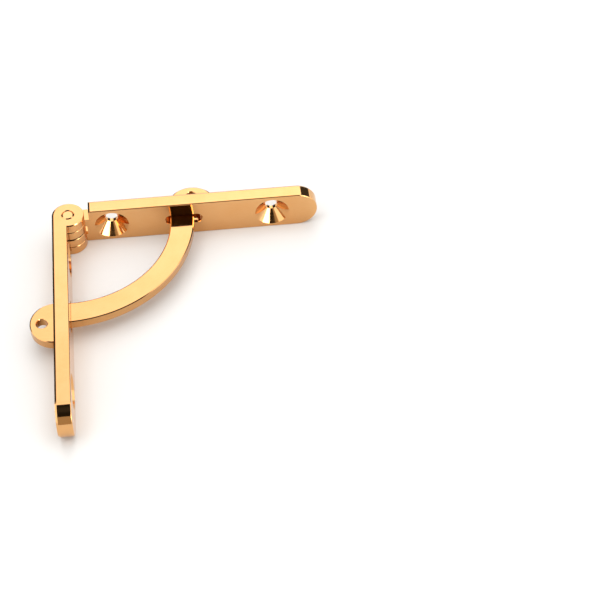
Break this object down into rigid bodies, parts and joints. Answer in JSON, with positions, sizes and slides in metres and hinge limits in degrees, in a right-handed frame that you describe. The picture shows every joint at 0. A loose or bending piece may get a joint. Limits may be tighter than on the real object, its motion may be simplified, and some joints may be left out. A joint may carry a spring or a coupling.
{
  "type": "quadrant hinge",
  "caption": "Slim round-ended box hinge whose curved stay slides through a slot in each leaf and stops the lid at a right angle.",
  "frame": {"origin": "on the pivot axis, at the lower edge of the leaves", "axes": "+Z along the pivot pin; the base leaf runs along +X and the lid leaf, open on its stop, along -Y"},
  "size_m": [0.0695, 0.0695, 0.01],
  "materials": {
    "leaf_gold": "polished gold plate over brass",
    "pin_gold": "gold plate over brass, ends faced flush",
    "stay_gold": "gold plate over brass, faintly brushed along the arc"
  },
  "bodies": {
    "base": {"base_leaf": "leaf_gold"},
    "lid": {"lid_leaf": "leaf_gold", "pivot_pin": "pin_gold"},
    "stay": {"quadrant_stay": "stay_gold"}
  },
  "joints": [
    {"name": "lid_fold", "type": "hinge", "parent": "base", "child": "lid", "pos_m": [0, 0, 0.005], "axis": [0, 0, 1], "range_deg": [0, 90]},
    {"name": "stay_slide", "type": "hinge", "parent": "base", "child": "stay", "pos_m": [0, 0, 0.005], "axis": [0, 0, 1], "range_deg": [0, 45]}
  ],
  "couplings": [
    {"joint": "stay_slide", "follows": "lid_fold", "ratio": 0.5}
  ]
}
